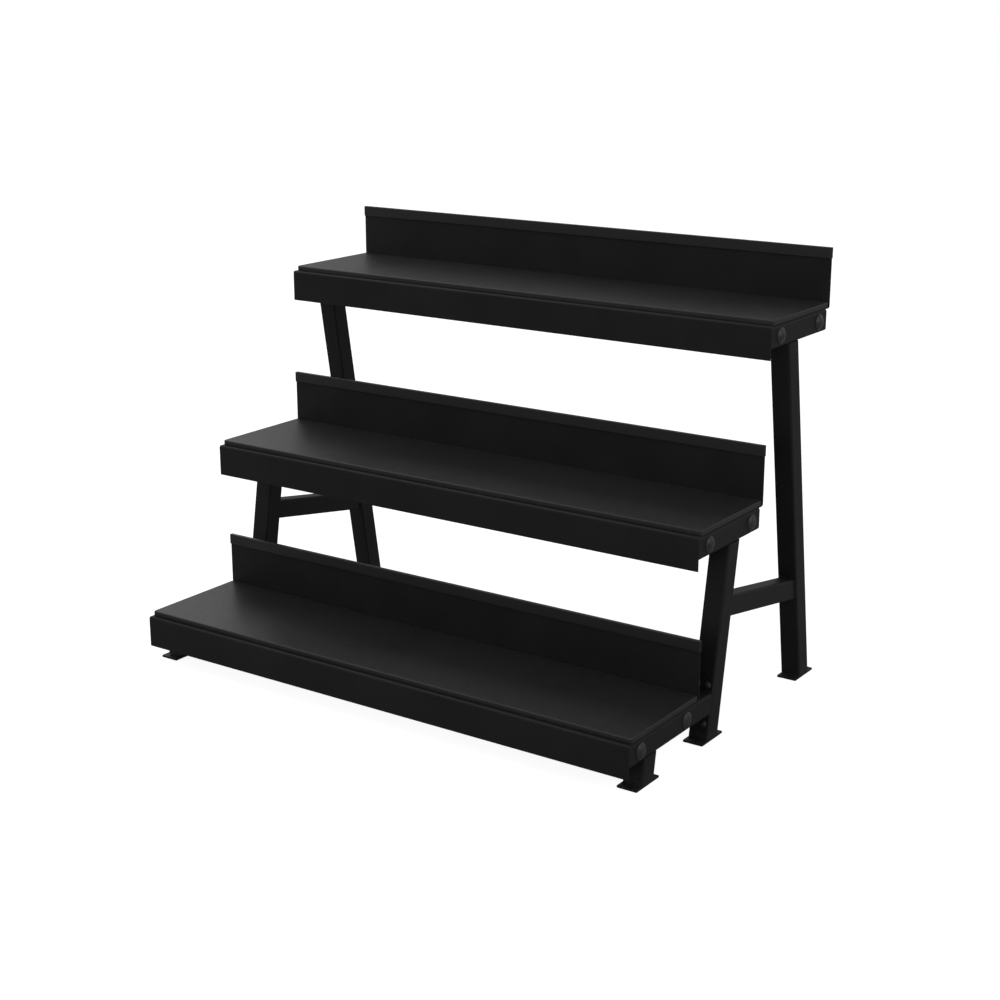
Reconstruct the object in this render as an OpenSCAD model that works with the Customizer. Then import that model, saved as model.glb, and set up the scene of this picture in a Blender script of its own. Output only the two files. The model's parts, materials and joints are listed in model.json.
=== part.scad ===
// Three-tier dumbbell rack.
// Two welded side frames of square tube carry three folded steel trays, one
// above and behind the other. Each tray has a rubber mat on its deck and a
// plastic trim along the top of its back plate, and is bolted through the arms.
//
// +X runs along the rack to the right, +Y to the back and +Z up.
// The origin is on the floor, in the middle of the footprint.

/* [Overall] */
// Outside width across the arms and the fascias
rack_w = 1400; // [1000:10:1800]

/* [Tiers] */
// Height of the bottom deck above the floor
bottom_deck_z = 120; // [95:1:180]
// Height of the middle deck above the floor
middle_deck_z = 505; // [420:1:610]
// Height of the top deck above the floor
top_deck_z = 917; // [760:1:1110]
// Middle fascia, measured back from the bottom fascia
middle_setback = 279; // [230:1:340]
// Top fascia, measured back from the bottom fascia
top_setback = 588; // [490:1:710]

/* [Tray] */
// Front of the fascia to the rear of the back plate
tray_depth = 308; // [255:1:375]
// Depth of the fascia below the deck
fascia_h = 78; // [60:1:95]
// Top of the trimmed back plate above the deck
back_h = 140; // [110:1:170]
// Thickness of the folded sheet
sheet_t = 3; // [2:0.5:4]
// Inside radius of the folds
bend_r = 3; // [2:0.5:5]
// How far the deck and the back plate stop short of the fascia's ends
deck_inset = 1.5; // [0:0.5:6]

/* [Mat] */
// Thickness of the rubber mat
mat_t = 12; // [6:0.5:16]
// Fascia front to the front edge of the mat
mat_front = 12; // [8:0.5:20]
// Gap between the mat and the ends of the deck
mat_side_gap = 0.5; // [0:0.5:4]
// Gap between the mat and the back plate
mat_back_gap = 0.2; // [0.1:0.1:2]
// Radius of the mat's corners, seen from above
mat_corner_r = 8; // [4:0.5:12]
// Radius of the mat's long edges
mat_edge_r = 3.5; // [3.2:0.1:5]

/* [Edge trim] */
// Height of the trim over the back plate's top edge
trim_h = 26; // [16:1:34]
// Wall thickness of the trim
trim_t = 3.5; // [2:0.5:5]
// Clearance between the trim and each face of the back plate
trim_gap = 0.15; // [0.05:0.05:0.5]
// Radius of the trim's top corners
trim_r = 1.5; // [0.5:0.5:2]

/* [Frame tube] */
// Outside size of the square tube of the legs and arms
tube = 50; // [40:1:60]
// Wall thickness of that tube
tube_wall = 3; // [2:0.5:4]
// Outside corner radius of every tube
tube_r = 5; // [4.5:0.5:8]
// Lean of the legs from the vertical, in degrees
lean = 9.5; // [7.5:0.5:11.5]

/* [Legs] */
// Bottom fascia to the middle of the front leg, at the floor
front_leg_y = 84.5; // [70:0.5:100]
// Rear of the bottom tray to the middle of the middle leg, at the floor
middle_leg_gap = 66.5; // [54:0.5:80]
// Top fascia to the middle of the rear leg, at the floor
rear_leg_gap = 264; // [220:1:300]

/* [Arms] */
// How far the middle and top arms stop short of the back plate's rear face
arm_rear_gap = 18.5; // [8:0.5:30]
// Thickness of the flange of the plastic caps in the arms' rear ends
cap_t = 3; // [2:0.5:5]
// Depth of a cap's spigot inside the arm
cap_plug = 14; // [8:1:20]
// Wall thickness of a cap's spigot
cap_wall = 2.5; // [1.5:0.5:4]
// Clearance between a cap's spigot and the tube
cap_gap = 0.2; // [0.1:0.1:0.5]

/* [Ties] */
// Height at which a tie leaves the middle leg
tie_z = 299; // [250:1:370]
// Outside width of the tie's tube, across the rack
tie_w = 40; // [30:1:50]
// Outside height of the tie's tube
tie_h = 50; // [40:1:60]
// Wall thickness of the tie's tube
tie_wall = 2.5; // [2:0.5:4]

/* [Feet] */
// Thickness of the foot plates
foot_t = 5; // [4:0.5:8]
// How far a foot plate reaches past the leg, front and rear
foot_ear = 23; // [20:1:32]
// Diameter of the floor-anchor holes
anchor_d = 9; // [7:0.5:11]
// Edge of the foot plate to the middle of the anchor hole
anchor_edge = 11; // [9:0.5:14]

/* [Tray bolts] */
// Diameter of the tray bolts
bolt_d = 16; // [12:1:18]
// Diameter of their domed heads
head_d = 39; // [30:1:44]
// Height of their domed heads
head_h = 9; // [6:0.5:12]
// Height of the straight rim under the dome
head_rim = 1.5; // [0.5:0.5:3]
// Fascia front to the front bolt
front_bolt_y = 50; // [42:1:60]
// Rear face of the back plate to the rear bolt
rear_bolt_gap = 59; // [50:1:75]
// Oversize of the holes that the bolts pass through
hole_play = 1; // [0.5:0.5:2]
// Radial clearance between a bolt and its nut
thread_gap = 0.05; // [0.02:0.01:0.1]
// Width of the nuts across flats
nut_af = 24; // [18:1:28]
// Thickness of the nuts
nut_t = 13; // [8:1:16]
// Diameter of the washers
washer_d = 30; // [24:1:36]
// Thickness of the washers
washer_t = 3; // [2:0.5:4]
// How far a bolt stands out of its nut
bolt_end = 4; // [2:1:10]

/* [Tray brackets and ribs] */
// Thickness of the angle brackets that join a tray to an arm
bracket_t = 5; // [4:0.5:6]
// Width of a bracket's top flange
bracket_w = 40; // [34:1:50]
// Height of a bracket's side flange
bracket_h = 46; // [40:1:50]
// Gap from the fascia front to the bracket, and from the arm's end at the rear
bracket_end_gap = 12; // [8:1:20]
// Fillet inside the angle brackets and the ribs
angle_fillet = 3; // [1:0.5:5]
// Width and height of the ribs under the deck
rib_w = 30; // [20:1:40]
// Thickness of the ribs
rib_t = 3; // [2:0.5:5]
// Gap between a rib's ends and the tray's folds
rib_end_gap = 4; // [2:1:10]

/* [End plates] */
// Length of the plates that join the bottom arms to the middle legs
plate_l = 118; // [114:1:140]
// How far the middle of a plate lies below the middle of its arm
plate_drop = 4; // [0:0.5:6]
// Thickness of those plates
plate_t = 5; // [4:0.5:8]
// Diameter of the plate bolts
plate_bolt_d = 8; // [6:1:10]
// Diameter of their domed heads
plate_head_d = 16; // [14:1:18]
// Height of their domed heads
plate_head_h = 5; // [4:0.5:7]
// Height of the straight rim under that dome
plate_head_rim = 1; // [0.5:0.5:2]
// End of the plate to the middle of the bolts
plate_bolt_edge = 14; // [12:0.5:16]
// Middle of the plate to its bolts, across the rack
plate_bolt_x = 13; // [11:0.5:14]
// Length of the rivet nuts inside the leg
rivet_nut_l = 14; // [10:1:18]
// Outside diameter of the rivet nuts
rivet_nut_d = 11; // [10.5:0.5:13]

/* [Hidden] */
$fn = 64;
powder_black = [0.12, 0.12, 0.125];
rubber_black = [0.2, 0.2, 0.205];
plastic_black = [0.16, 0.16, 0.165];
bolt_black = [0.22, 0.22, 0.225];

// A tier is its name, its setback and the height of its deck.
bottom = ["bottom", 0, bottom_deck_z];
middle = ["middle", middle_setback, middle_deck_z];
top = ["top", top_setback, top_deck_z];
tiers = [bottom, middle, top];
function setback(tier) = tier[1];
function deck_z(tier) = tier[2];

// A side is its name and its sign along X.
left = ["left", -1];
right = ["right", 1];
sides = [left, right];

fold_r = bend_r + sheet_t;
deck_w = rack_w - 2 * deck_inset;
plate_top = back_h - trim_t;
frame_x = rack_w / 2 - tube / 2;
arm_inner_x = rack_w / 2 - tube;
arm_end = tray_depth - arm_rear_gap;
rear_bolt_y = tray_depth - rear_bolt_gap;
middle_leg_y = tray_depth + middle_leg_gap;
rear_leg_y = top_setback + rear_leg_gap;
foot_l = tube + 2 * foot_ear;
trim_rear = tray_depth + trim_gap + trim_t;
rack_depth = max(rear_leg_y + foot_l / 2, top_setback + trim_rear);
grip = tube + bracket_t + washer_t;
anchor_y = foot_l / 2 - anchor_edge;
far = 3 * rack_w;

function arm_top(tier) = deck_z(tier) - sheet_t;
function arm_bottom(tier) = arm_top(tier) - tube;
function arm_mid(tier) = arm_top(tier) - tube / 2;

// Place along a leaning leg, from its height above the floor and its distance
// behind the leg's centre line.
function along_leg(z, behind) = (z + behind * sin(lean)) / cos(lean);
plate_mid = along_leg(arm_mid(bottom) - plate_drop, -tube / 2);
plate_bolt_offset = plate_l / 2 - plate_bolt_edge;
tie_mid = along_leg(tie_z, tube / 2);

// ---- shared shapes ----

// Moves a shape measured from the bottom fascia to the rack's own origin.
module on_rack()
    translate([0, -rack_depth / 2, 0]) children();

// Puts a shape measured from a tier's fascia and deck in its place.
module on_tier(tier)
    translate([0, setback(tier), deck_z(tier)]) children();

// Turns a shape made for the right-hand side to the side that is asked for.
module on_side(side)
    mirror([side[1] < 0 ? 1 : 0, 0, 0]) children();

// Extrudes a profile of depth and height across the rack, about its middle.
module across(width)
    translate([-width / 2, 0, 0]) rotate([90, 0, 90]) linear_extrude(height = width) children();

// Extrudes a profile of width and height towards the back.
module backwards(length)
    translate([0, length, 0]) rotate([90, 0, 0]) linear_extrude(height = length) children();

// The frame of a leaning leg: Z runs up the leg and Y is square to it.
// A rake of 1 leans the leg backwards and -1 forwards.
module in_leg(y, rake)
    translate([0, y, 0]) rotate([-rake * lean, 0, 0]) children();

module rounded_rect(w, h, r) {
    square([w - 2 * r, h], center = true);
    square([w, h - 2 * r], center = true);
    for (x = [-1, 1], y = [-1, 1])
        translate([x * (w / 2 - r), y * (h / 2 - r)]) circle(r);
}

module box_section(w, h, wall) {
    difference() {
        rounded_rect(w, h, tube_r);
        rounded_rect(w - 2 * wall, h - 2 * wall, tube_r - wall);
    }
}

// A quarter of a folded sheet, in the quadrant that sx and sy name.
module fold(sx, sy) {
    intersection() {
        difference() {
            circle(fold_r);
            circle(bend_r);
        }
        translate([sx < 0 ? -fold_r : 0, sy < 0 ? -fold_r : 0]) square(fold_r);
    }
}

// An angle with its outer corner at the origin and its flanges along +X and -Y.
module angle_section(w, h, t) {
    difference() {
        translate([0, -h]) square([w, h]);
        translate([t + angle_fillet, -h - 1]) square([w, h + 1 - t]);
        translate([t, -h - 1]) square([w, h + 1 - t - angle_fillet]);
        translate([t + angle_fillet, -t - angle_fillet]) circle(angle_fillet);
    }
}

// A domed bolt head on the plane x = 0, with its dome towards +X.
module domed_head(d, h, rim) {
    dome = h - rim;
    dome_r = (d * d / 4 + dome * dome) / (2 * dome);
    rotate([0, 90, 0]) {
        cylinder(h = rim, d = d);
        translate([0, 0, rim]) intersection() {
            translate([0, 0, dome - dome_r]) sphere(dome_r, $fn = 96);
            cylinder(h = h, d = d);
        }
    }
}

// Repeats a shape at the four bolts of a tier, pointing outwards.
module at_tray_bolts(tier) {
    for (side = sides, y = [front_bolt_y, rear_bolt_y])
        on_side(side)
            translate([rack_w / 2, setback(tier) + y, arm_mid(tier)]) children();
}

// ---- trays ----

module tray_front_profile() {
    translate([0, -fascia_h]) square([sheet_t, fascia_h - fold_r]);
    translate([fold_r, -fold_r]) fold(-1, 1);
}

module tray_rear_profile() {
    translate([fold_r, -sheet_t]) square([tray_depth - 2 * fold_r, sheet_t]);
    translate([tray_depth - fold_r, bend_r]) fold(1, -1);
    translate([tray_depth - sheet_t, bend_r]) square([sheet_t, plate_top - bend_r]);
}

module tray(tier) {
    color(powder_black) on_rack() on_tier(tier) {
        across(rack_w) tray_front_profile();
        across(deck_w) tray_rear_profile();
    }
}

module mat(tier) {
    mat_w = deck_w - 2 * mat_side_gap;
    mat_d = tray_depth - sheet_t - mat_back_gap - mat_front;
    color(rubber_black) on_rack() on_tier(tier) translate([0, mat_front + mat_d / 2, 0]) {
        intersection() {
            across(mat_w) translate([0, mat_t / 2]) rounded_rect(mat_d, mat_t, mat_edge_r);
            linear_extrude(height = mat_t) rounded_rect(mat_w, mat_d, mat_corner_r);
        }
    }
}

module edge_trim(tier) {
    slot = sheet_t + 2 * trim_gap;
    color(plastic_black) on_rack() on_tier(tier)
        translate([0, tray_depth - sheet_t / 2, back_h]) across(deck_w) {
            difference() {
                translate([0, -trim_h / 2]) rounded_rect(slot + 2 * trim_t, trim_h, trim_r);
                translate([-slot / 2, -trim_h - 1]) square([slot, trim_h + 1 - trim_t]);
            }
        }
}

// Two angles across the underside of the deck, at a third of the width.
module deck_ribs(tier) {
    length = tray_depth - 2 * fold_r - 2 * rib_end_gap;
    color(powder_black) on_rack() on_tier(tier)
        for (side = sides) on_side(side)
            translate([rack_w / 6, fold_r + rib_end_gap, -sheet_t])
                backwards(length) angle_section(rib_w, rib_w, rib_t);
}

// The angle that is welded under the deck and bolted to the inside of the arm.
module bracket(side, tier) {
    length = arm_end - 2 * bracket_end_gap;
    color(powder_black) on_rack() on_side(side) on_tier(tier) difference() {
        translate([arm_inner_x, bracket_end_gap, -sheet_t])
            backwards(length) mirror([1, 0]) angle_section(bracket_w, bracket_h, bracket_t);
        for (y = [front_bolt_y, rear_bolt_y])
            translate([arm_inner_x - bracket_w, y, -sheet_t - tube / 2])
                rotate([0, 90, 0]) cylinder(h = 2 * bracket_w, d = bolt_d + hole_play);
    }
}

// ---- tray bolts ----

module tray_bolts(tier) {
    color(bolt_black) on_rack() at_tray_bolts(tier) {
        domed_head(head_d, head_h, head_rim);
        translate([-grip - nut_t - bolt_end, 0, 0]) rotate([0, 90, 0])
            cylinder(h = grip + nut_t + bolt_end, d = bolt_d);
    }
}

module tray_washers(tier) {
    color(bolt_black) on_rack() at_tray_bolts(tier)
        translate([-grip, 0, 0]) rotate([0, 90, 0]) difference() {
            cylinder(h = washer_t, d = washer_d);
            translate([0, 0, -1]) cylinder(h = washer_t + 2, d = bolt_d + hole_play);
        }
}

module tray_nuts(tier) {
    color(bolt_black) on_rack() at_tray_bolts(tier)
        translate([-grip - nut_t, 0, 0]) rotate([0, 90, 0]) difference() {
            cylinder(h = nut_t, d = nut_af / cos(30), $fn = 6);
            translate([0, 0, -1]) cylinder(h = nut_t + 2, d = bolt_d + 2 * thread_gap);
        }
}

// ---- side frames ----

// Everything in front of the end plate, which stands on the middle leg.
module before_end_plate()
    in_leg(middle_leg_y, 1)
        translate([-far / 2, -far - tube / 2 - plate_t, -far / 2]) cube(far);

// A tube behind a fascia. Its top front corner is cut back for the tray's fold.
module arm_tube(tier, length) {
    difference() {
        translate([frame_x, setback(tier) + sheet_t, arm_mid(tier)])
            backwards(length) box_section(tube, tube, tube_wall);
        translate([frame_x, setback(tier) + sheet_t, arm_top(tier)])
            across(tube + 2) polygon([[-1, 1], [bend_r + 1, 1], [-1, -bend_r - 1]]);
        for (y = [front_bolt_y, rear_bolt_y])
            translate([arm_inner_x - 1, setback(tier) + y, arm_mid(tier)])
                rotate([0, 90, 0]) cylinder(h = tube + 2, d = bolt_d + hole_play);
    }
}

module arm(side, tier) {
    color(powder_black) on_rack() on_side(side) arm_tube(tier, arm_end - cap_t - sheet_t);
}

module bottom_arm(side) {
    color(powder_black) on_rack() on_side(side) intersection() {
        arm_tube(bottom, middle_leg_y + tube);
        before_end_plate();
    }
}

module arm_cap(side, tier) {
    plug = tube - 2 * tube_wall - 2 * cap_gap;
    plug_r = tube_r - tube_wall;
    color(plastic_black) on_rack() on_side(side)
        translate([frame_x, setback(tier) + arm_end - cap_t, arm_mid(tier)]) {
            backwards(cap_t) rounded_rect(tube, tube, tube_r);
            translate([0, -cap_plug, 0]) backwards(cap_plug) difference() {
                rounded_rect(plug, plug, plug_r);
                square(plug - 2 * cap_wall, center = true);
            }
        }
}

// A leaning leg, cut level on its foot plate and under its arm.
module leg(side, y, rake, tier) {
    color(powder_black) on_rack() on_side(side) translate([frame_x, 0, 0]) intersection() {
        in_leg(y, rake) translate([0, 0, -tube])
            linear_extrude(height = deck_z(tier) + 3 * tube) box_section(tube, tube, tube_wall);
        translate([-tube, -far / 2, foot_t]) cube([2 * tube, far, arm_bottom(tier) - foot_t]);
    }
}

// The middle leg also takes the rivet nuts of the end plate.
module middle_leg(side) {
    difference() {
        leg(side, middle_leg_y, 1, middle);
        on_rack() on_side(side) at_plate_bolts()
            rotate([-90, 0, 0]) cylinder(h = tube / 2, d = rivet_nut_d + 2 * thread_gap);
    }
}

// The tie is square to the middle leg and mitred against the rear leg.
module tie(side) {
    color(powder_black) on_rack() on_side(side) translate([frame_x, 0, 0]) intersection() {
        in_leg(middle_leg_y, 1) translate([0, tube / 2, tie_mid])
            backwards(rear_leg_y) box_section(tie_w, tie_h, tie_wall);
        in_leg(rear_leg_y, -1) translate([-far / 2, -far - tube / 2, -far / 2]) cube(far);
    }
}

module foot(side, y) {
    color(powder_black) on_rack() on_side(side) translate([frame_x, y, 0]) difference() {
        translate([-tube / 2, -foot_l / 2, 0]) cube([tube, foot_l, foot_t]);
        for (ear = [-1, 1])
            translate([0, ear * anchor_y, -1]) cylinder(h = foot_t + 2, d = anchor_d);
    }
}

// ---- end plates ----

// Repeats a shape where a plate bolt enters the front of the middle leg.
module at_plate_bolts()
    translate([frame_x, 0, 0]) in_leg(middle_leg_y, 1)
        for (x = [-1, 1], end = [-1, 1])
            translate([x * plate_bolt_x, -tube / 2, plate_mid + end * plate_bolt_offset])
                children();

module end_plate(side) {
    color(powder_black) on_rack() on_side(side) difference() {
        translate([frame_x, 0, 0]) in_leg(middle_leg_y, 1)
            translate([-tube / 2, -tube / 2 - plate_t, plate_mid - plate_l / 2])
                cube([tube, plate_t, plate_l]);
        at_plate_bolts() rotate([90, 0, 0]) translate([0, 0, -1])
            cylinder(h = plate_t + 2, d = plate_bolt_d + hole_play);
    }
}

module end_plate_bolts(side) {
    color(bolt_black) on_rack() on_side(side) at_plate_bolts() {
        translate([0, -plate_t, 0]) rotate([0, 0, -90])
            domed_head(plate_head_d, plate_head_h, plate_head_rim);
        translate([0, -plate_t, 0]) rotate([-90, 0, 0])
            cylinder(h = plate_t + rivet_nut_l, d = plate_bolt_d);
    }
}

module end_plate_nuts(side) {
    color(bolt_black) on_rack() on_side(side) at_plate_bolts() rotate([-90, 0, 0])
        difference() {
            cylinder(h = rivet_nut_l, d = rivet_nut_d);
            translate([0, 0, -1])
                cylinder(h = rivet_nut_l + 2, d = plate_bolt_d + 2 * thread_gap);
        }
}

// ---- nodes ----

for (tier = tiers) {
    name = tier[0];
    tray(tier);
    mat(tier);
    edge_trim(tier);
    deck_ribs(tier);
    tray_bolts(tier);
    tray_washers(tier);
    tray_nuts(tier);
}

for (side = sides) {
    name = side[0];
    bottom_arm(side);
    arm(side, middle);
    arm(side, top);
    bracket(side, bottom);
    bracket(side, middle);
    bracket(side, top);
    arm_cap(side, middle);
    arm_cap(side, top);
    leg(side, front_leg_y, 1, bottom);
    middle_leg(side);
    leg(side, rear_leg_y, -1, top);
    tie(side);
    foot(side, front_leg_y);
    foot(side, middle_leg_y);
    foot(side, rear_leg_y);
    end_plate(side);
    end_plate_bolts(side);
    end_plate_nuts(side);
}
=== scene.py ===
"""Finishes a three-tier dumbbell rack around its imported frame, and sets it on a pale studio floor.

Laid out as an add-on: the settings hold the sizes, finishes and stage, each operator makes one group of
like pieces, and the panel lists them. Run as a script, main() calls the operators in order.
"""

import json
import math
from contextlib import contextmanager

import bmesh
import bpy
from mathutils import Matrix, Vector


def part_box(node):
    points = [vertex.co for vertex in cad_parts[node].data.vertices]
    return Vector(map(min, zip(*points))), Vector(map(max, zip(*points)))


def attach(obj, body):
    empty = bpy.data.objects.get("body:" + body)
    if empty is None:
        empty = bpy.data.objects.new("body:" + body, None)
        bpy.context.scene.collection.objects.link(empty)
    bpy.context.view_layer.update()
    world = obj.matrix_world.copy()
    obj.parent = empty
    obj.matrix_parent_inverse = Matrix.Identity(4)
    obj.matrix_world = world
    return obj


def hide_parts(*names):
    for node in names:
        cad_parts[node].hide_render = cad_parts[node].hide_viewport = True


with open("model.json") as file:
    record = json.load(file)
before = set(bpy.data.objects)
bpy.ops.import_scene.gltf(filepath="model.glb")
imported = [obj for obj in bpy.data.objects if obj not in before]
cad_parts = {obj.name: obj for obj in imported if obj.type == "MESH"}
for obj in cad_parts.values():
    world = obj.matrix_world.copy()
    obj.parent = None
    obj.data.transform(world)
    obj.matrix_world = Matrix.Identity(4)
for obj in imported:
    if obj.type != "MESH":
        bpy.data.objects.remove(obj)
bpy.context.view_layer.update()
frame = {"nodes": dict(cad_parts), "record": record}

bl_info = {
    "name": "Dumbbell Rack Finisher",
    "version": (1, 0, 0),
    "blender": (4, 5, 0),
    "location": "View3D > Sidebar > Rack",
    "description": "Folded trays, rubber mats, welds and finishes for a three-tier dumbbell rack",
    "category": "Object",
}

MM = 0.001
TIERS = ("bottom", "middle", "top")
SIDES = ("left", "right")
UPPER_TIERS = ("middle", "top")
LEGS = ("front", "middle", "rear")
FRAME_PARTS = (
    "bottom_arm", "middle_arm", "top_arm", "front_leg", "middle_leg", "rear_leg", "tie",
    "bottom_bracket", "middle_bracket", "top_bracket", "end_plate",
)

# Finishes, by the record's slot names
COAT = "powder_coat"
RUBBER = "rubber"
PLASTIC = "plastic"
FASTENER = "fastener"
FINISH_TAG = "_finish"


# ---- settings ----


class RackSizes(bpy.types.PropertyGroup):
    """Sizes of the details that the frame's own boxes don't give"""

    sheet: bpy.props.FloatProperty(
        name="Sheet", description="Thickness of the folded tray sheet", default=3 * MM, unit="LENGTH"
    )
    fold: bpy.props.FloatProperty(
        name="Fold", description="Inside radius of the folds", default=3 * MM, unit="LENGTH"
    )
    edge: bpy.props.FloatProperty(
        name="Coated edge", description="Rounding of cut steel edges under the coat",
        default=0.7 * MM, unit="LENGTH"
    )
    mat_corner: bpy.props.FloatProperty(
        name="Mat corner", description="Radius of a mat's corners, seen from above",
        default=8 * MM, unit="LENGTH"
    )
    mat_edge: bpy.props.FloatProperty(
        name="Mat edge", description="Rounding along a mat's edges", default=3 * MM, unit="LENGTH"
    )
    mat_foot: bpy.props.FloatProperty(
        name="Mat foot", description="Rounding where a mat meets the deck",
        default=1 * MM, unit="LENGTH"
    )
    trim_edge: bpy.props.FloatProperty(
        name="Trim edge", description="Rounding of the edge trims", default=1.2 * MM, unit="LENGTH"
    )
    bolt: bpy.props.FloatProperty(
        name="Tray bolt", description="Diameter of the tray bolts' shanks",
        default=16 * MM, unit="LENGTH"
    )
    head_rim: bpy.props.FloatProperty(
        name="Head rim", description="Straight rim under a domed head", default=1.5 * MM, unit="LENGTH"
    )
    pitch: bpy.props.FloatProperty(
        name="Thread pitch", description="Pitch of the bolts' threads", default=2 * MM, unit="LENGTH"
    )
    thread_gap: bpy.props.FloatProperty(
        name="Thread gap", description="Radial clearance of a nut on its bolt",
        default=0.05 * MM, unit="LENGTH"
    )
    play: bpy.props.FloatProperty(
        name="Hole play", description="Radial clearance of a washer on its bolt",
        default=0.5 * MM, unit="LENGTH"
    )
    tube_corner: bpy.props.FloatProperty(
        name="Tube corner", description="Outside corner radius of the tubes",
        default=5 * MM, unit="LENGTH"
    )
    tube_wall: bpy.props.FloatProperty(
        name="Tube wall", description="Wall of the legs' and arms' tube", default=3 * MM, unit="LENGTH"
    )
    cap_edge: bpy.props.FloatProperty(
        name="Cap edge", description="Rounding of the end caps", default=1.2 * MM, unit="LENGTH"
    )
    cap_border: bpy.props.FloatProperty(
        name="Cap border", description="Border around an end cap's panel",
        default=2.5 * MM, unit="LENGTH"
    )
    cap_recess: bpy.props.FloatProperty(
        name="Cap recess", description="Depth of an end cap's panel", default=0.8 * MM, unit="LENGTH"
    )
    cap_gap: bpy.props.FloatProperty(
        name="Cap gap", description="Clearance of a cap's spigot in its tube",
        default=0.2 * MM, unit="LENGTH"
    )
    cap_wall: bpy.props.FloatProperty(
        name="Cap wall", description="Wall of a cap's spigot", default=1.6 * MM, unit="LENGTH"
    )
    plate_corner: bpy.props.FloatProperty(
        name="Plate corner", description="Corner radius of the foot plates",
        default=1.5 * MM, unit="LENGTH"
    )
    lean: bpy.props.FloatProperty(
        name="Lean", description="Lean of the legs from the vertical",
        default=math.radians(9.5), unit="ROTATION"
    )
    bead: bpy.props.FloatProperty(
        name="Weld bead", description="Radius of the weld beads", default=2.6 * MM, unit="LENGTH"
    )
    bead_sit: bpy.props.FloatProperty(
        name="Bead seat",
        description="How far a bead's middle stands out of its corner, as a share of its radius",
        default=0.3, subtype="FACTOR",
    )
    stitch: bpy.props.FloatProperty(
        name="Stitch", description="Length of a stitch weld under a deck",
        default=30 * MM, unit="LENGTH"
    )
    stitch_margin: bpy.props.FloatProperty(
        name="Stitch margin", description="End of a bracket or rib to its first stitch",
        default=8 * MM, unit="LENGTH"
    )
    tie_height: bpy.props.FloatProperty(
        name="Tie height", description="Outside height of the tie's tube",
        default=50 * MM, unit="LENGTH"
    )
    end_plate: bpy.props.FloatProperty(
        name="End plate", description="Thickness of the plates behind the bottom arms",
        default=5 * MM, unit="LENGTH"
    )
    ripple: bpy.props.FloatProperty(
        name="Weld ripple", description="Length of half a ripple in a bead",
        default=1.7 * MM, unit="LENGTH"
    )


class RackFinish(bpy.types.PropertyGroup):
    """Colours and gloss of the finishes"""

    coat: bpy.props.FloatVectorProperty(
        name="Powder coat", description="Colour of the steelwork", default=(0.0165, 0.0165, 0.0168),
        subtype="COLOR", size=3, min=0, max=1,
    )
    coat_roughness: bpy.props.FloatProperty(
        name="Coat roughness", description="Roughness of the powder coat",
        default=0.48, subtype="FACTOR",
    )
    coat_reflection: bpy.props.FloatProperty(
        name="Coat reflection", description="Strength of the coat's reflection, 0.5 for plain plastic",
        default=0.2, subtype="FACTOR",
    )
    # Painted light near the floor: the lighter colour that the steel turns towards the floor, standing in
    # for light on the feet
    dust: bpy.props.FloatVectorProperty(
        name="Dust", description="Colour of the steel near the floor, where dust settles",
        default=(0.035, 0.035, 0.0345), subtype="COLOR", size=3, min=0, max=1,
    )
    # Painted light near the floor: the height over which the steel turns lighter
    floor_light_height: bpy.props.FloatProperty(
        name="Dust height", description="Height up to which dust settles",
        default=40 * MM, unit="LENGTH"
    )
    rubber: bpy.props.FloatVectorProperty(
        name="Rubber", description="Colour of the mats", default=(0.019, 0.019, 0.0193),
        subtype="COLOR", size=3, min=0, max=1,
    )
    rubber_roughness: bpy.props.FloatProperty(
        name="Rubber roughness", description="Roughness of the mats", default=0.42, subtype="FACTOR",
    )
    plastic: bpy.props.FloatVectorProperty(
        name="Plastic", description="Colour of the edge trims and caps", default=(0.016, 0.016, 0.0165),
        subtype="COLOR", size=3, min=0, max=1,
    )
    plastic_roughness: bpy.props.FloatProperty(
        name="Plastic roughness", description="Roughness of the trims and caps",
        default=0.4, subtype="FACTOR",
    )
    fastener: bpy.props.FloatVectorProperty(
        name="Fasteners", description="Colour of the bolts, nuts and washers",
        default=(0.031, 0.031, 0.032), subtype="COLOR", size=3, min=0, max=1,
    )
    fastener_roughness: bpy.props.FloatProperty(
        name="Fastener roughness", description="Roughness of the coated fasteners",
        default=0.36, subtype="FACTOR",
    )


class RackStage(bpy.types.PropertyGroup):
    """Camera, floor and light"""

    camera_at: bpy.props.FloatVectorProperty(
        name="Camera", description="Place of the camera",
        default=(2.4390, -3.4355, 1.6600), subtype="TRANSLATION", size=3,
    )
    camera_turn: bpy.props.FloatVectorProperty(
        name="Camera turn", description="Rotation of the camera",
        default=(math.radians(73.765), 0, math.radians(34.686)), subtype="EULER", size=3,
    )
    lens: bpy.props.FloatProperty(name="Lens", description="Focal length", default=64.46, unit="CAMERA")
    floor_size: bpy.props.FloatProperty(
        name="Floor", description="Side of the floor", default=60, unit="LENGTH"
    )
    floor_tone: bpy.props.FloatProperty(
        name="Floor tone", description="Reflectance of the floor", default=0.45, subtype="FACTOR",
    )
    floor_glow: bpy.props.FloatProperty(
        name="Floor glow", description="Light that the floor adds towards the camera", default=0.92,
    )
    room: bpy.props.FloatProperty(
        name="Room light", description="Radiance of the room around the rack", default=0.4,
    )


SETTINGS = {"rack_sizes": RackSizes, "rack_finish": RackFinish, "rack_stage": RackStage}


# ---- shader maths ----


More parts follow.
